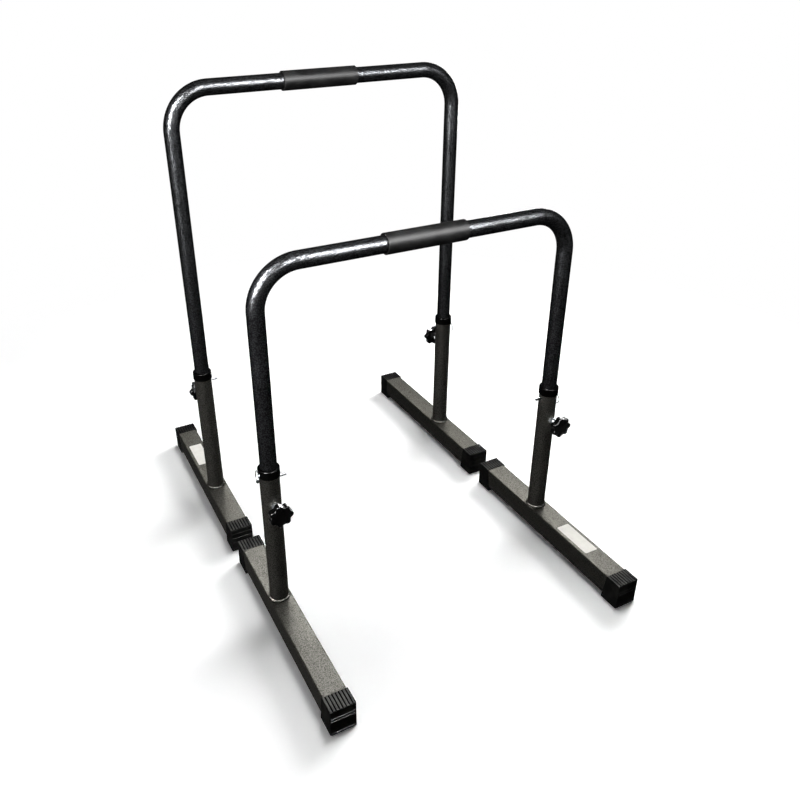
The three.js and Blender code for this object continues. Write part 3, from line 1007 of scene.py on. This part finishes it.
def seenRay(tree):
    # 1 for what the eye sees, straight, mirrored or through something clear, and 0 for soft light
    path = addNode(tree, "ShaderNodeLightPath").outputs
    direct = addNode(
        tree, "ShaderNodeMath", {"operation": "ADD"}, {0: path["Is Camera Ray"], 1: path["Is Glossy Ray"]},
    )
    both = addNode(
        tree, "ShaderNodeMath", {"operation": "ADD", "use_clamp": True},
        {0: direct.outputs[0], 1: path["Is Transmission Ray"]},
    )
    return both.outputs[0]


def paperFloor():
    # White to the eye and in reflections, with the object's shadow; dark to soft light that would bounce up
    material, tree = newMaterial("whitePaper")
    lit = addNode(tree, "ShaderNodeBsdfDiffuse", {"Color": (paperGain, paperGain, paperGain, 1.0)})
    far = addNode(tree, "ShaderNodeEmission", {"Strength": 1.0})
    spot = addNode(tree, "ShaderNodeTexCoord").outputs["Object"]
    distance = addNode(tree, "ShaderNodeVectorMath", {"operation": "LENGTH"}, {0: spot})
    fade = addNode(
        tree, "ShaderNodeMapRange",
        {
            "interpolation_type": "SMOOTHSTEP",
            "From Min": stageSizes["whiteFrom"], "From Max": stageSizes["whiteTo"],
        },
        {"Value": distance.outputs["Value"]},
    )
    paper = addNode(
        tree, "ShaderNodeMixShader", links={0: fade.outputs["Result"], 1: lit.outputs[0], 2: far.outputs[0]},
    )
    dark = addNode(tree, "ShaderNodeBsdfDiffuse", {"Color": linear("303030")})
    both = addNode(
        tree, "ShaderNodeMixShader", links={0: seenRay(tree), 1: dark.outputs[0], 2: paper.outputs[0]},
    )
    closeMaterial(tree, both.outputs[0])
    return material


def layFloor():
    half = stageSizes["floorSize"] / 2
    mesh = bpy.data.meshes.new("floor")
    corners = [(-half, -half, 0), (half, -half, 0), (half, half, 0), (-half, half, 0)]
    mesh.from_pydata(corners, [], [(0, 1, 2, 3)])
    mesh.materials.append(paperFloor())
    floor = bpy.data.objects.new("floor", mesh)
    floor.location.z = cadLow.z
    bpy.context.scene.collection.objects.link(floor)


worldLight = {"zenith": 0.12, "horizon": 0.0}


def lightWorld():
    # White to the eye and in reflections; soft light that fades from the zenith to the horizon
    world = bpy.data.worlds.new("studio")
    bpy.context.scene.world = world
    world.use_nodes = True
    tree = world.node_tree
    tree.nodes.clear()
    way = addNode(tree, "ShaderNodeTexCoord").outputs["Generated"]
    height = addNode(tree, "ShaderNodeSeparateXYZ", links={0: way})
    sky = addNode(
        tree, "ShaderNodeMapRange", {"To Min": worldLight["horizon"], "To Max": worldLight["zenith"]},
        {"Value": height.outputs["Z"]},
    )
    soft = addNode(tree, "ShaderNodeBackground", links={"Strength": sky.outputs["Result"]})
    white = addNode(tree, "ShaderNodeBackground", {"Strength": 1.0})
    for background in (soft, white):
        background.inputs["Color"].default_value = linear("ffffff")
    both = addNode(
        tree, "ShaderNodeMixShader", links={0: seenRay(tree), 1: soft.outputs[0], 2: white.outputs[0]},
    )
    addNode(tree, "ShaderNodeOutputWorld", links={"Surface": both.outputs[0]})


# Each softbox has its place, its aim and its two sides in metres and its power in watts
softboxes = {
    "overhead": {"place": (0.6, 0.3, 4.2), "aim": (0, 0, 0), "sides": (1.2, 1.2), "power": 80},
    "key": {"place": (2.9, 1.2, 2.2), "aim": (0, 0, 0), "sides": (2.0, 2.0), "power": 135},
    "fill": {"place": (-1.8, -0.2, 0.5), "aim": (0, 0, 0), "sides": (1.4, 0.6), "power": 11},
    "frontCard": {"place": (0.35, -1.3, 1.62), "aim": (0, 0, 0.9), "sides": (1.26, 0.85), "power": 2400},
    "rearCard": {"place": (1.6, 2.6, 3.3), "aim": (0, 0, 0), "sides": (3.4, 2.4), "power": 3200},
    "leftCard": {"place": (-1.5, -0.9, 1.55), "aim": (0, 0, 1.0), "sides": (0.8, 1.2), "power": 6000},
    "rimCard": {"place": (1.7, 1.6, 0.8), "aim": (0.2, 0, 0.1), "sides": (1.0, 0.6), "power": 1100},
}
# A card shows in glossy surfaces and adds no light to matt ones
cards = ("frontCard", "rearCard", "leftCard", "rimCard")
flaggedCards = ("frontCard", "leftCard", "rimCard")


def flagFeet():
    # black flags keep the low cards off the feet, whose tops would glare from behind
    flagged = bpy.data.collections.new("flagged")
    for piece in bpy.data.objects:
        if piece.name.endswith(("_foot_tube", "_label")):
            flagged.objects.link(piece)
    for item in flagged.collection_objects:
        item.light_linking.link_state = "EXCLUDE"
    return flagged


def hangLamps():
    flagged = flagFeet()
    for name, lamp in softboxes.items():
        data = bpy.data.lights.new(name, "AREA")
        data.shape = "RECTANGLE"
        data.size, data.size_y = lamp["sides"]
        data.energy = lamp["power"]
        light = bpy.data.objects.new(name, data)
        light.visible_diffuse = name not in cards
        if name in flaggedCards:
            light.light_linking.receiver_collection = flagged
        light.location = lamp["place"]
        way = Vector(lamp["aim"]) - Vector(lamp["place"])
        light.rotation_mode = "QUATERNION"
        light.rotation_quaternion = way.to_track_quat("-Z", "Y")
        bpy.context.scene.collection.objects.link(light)


# Place in metres, angles in degrees, lens and sensor in millimetres; the turn is from +y towards +x
cameraView = {
    "place": (-0.7039, -1.3823, 1.2378), "turn": 25.97, "tilt": -27.76, "roll": -1.04,
    "lens": 34.23, "sensor": 36, "shiftX": 0.0513, "shiftY": -0.0419,
}


def setCamera():
    v = cameraView
    turn, tilt, roll = (math.radians(v[key]) for key in ("turn", "tilt", "roll"))
    ahead = Vector((math.cos(tilt) * math.sin(turn), math.cos(tilt) * math.cos(turn), math.sin(tilt)))
    right = Vector((math.cos(turn), -math.sin(turn), 0))
    up = right.cross(ahead)
    rolledRight = right * math.cos(roll) + up * math.sin(roll)
    rolledUp = up * math.cos(roll) - right * math.sin(roll)
    data = bpy.data.cameras.new("camera")
    data.sensor_width = v["sensor"]
    data.lens = v["lens"]
    data.shift_x = v["shiftX"]
    data.shift_y = v["shiftY"]
    camera = bpy.data.objects.new("camera", data)
    columns = Matrix((rolledRight, rolledUp, -ahead)).transposed()
    camera.matrix_world = Matrix.Translation(v["place"]) @ columns.to_4x4()
    bpy.context.scene.collection.objects.link(camera)
    bpy.context.scene.camera = camera


layFloor()
lightWorld()
hangLamps()
setCamera()
bpy.context.scene.view_settings.view_transform = "Standard"
print("stage set")
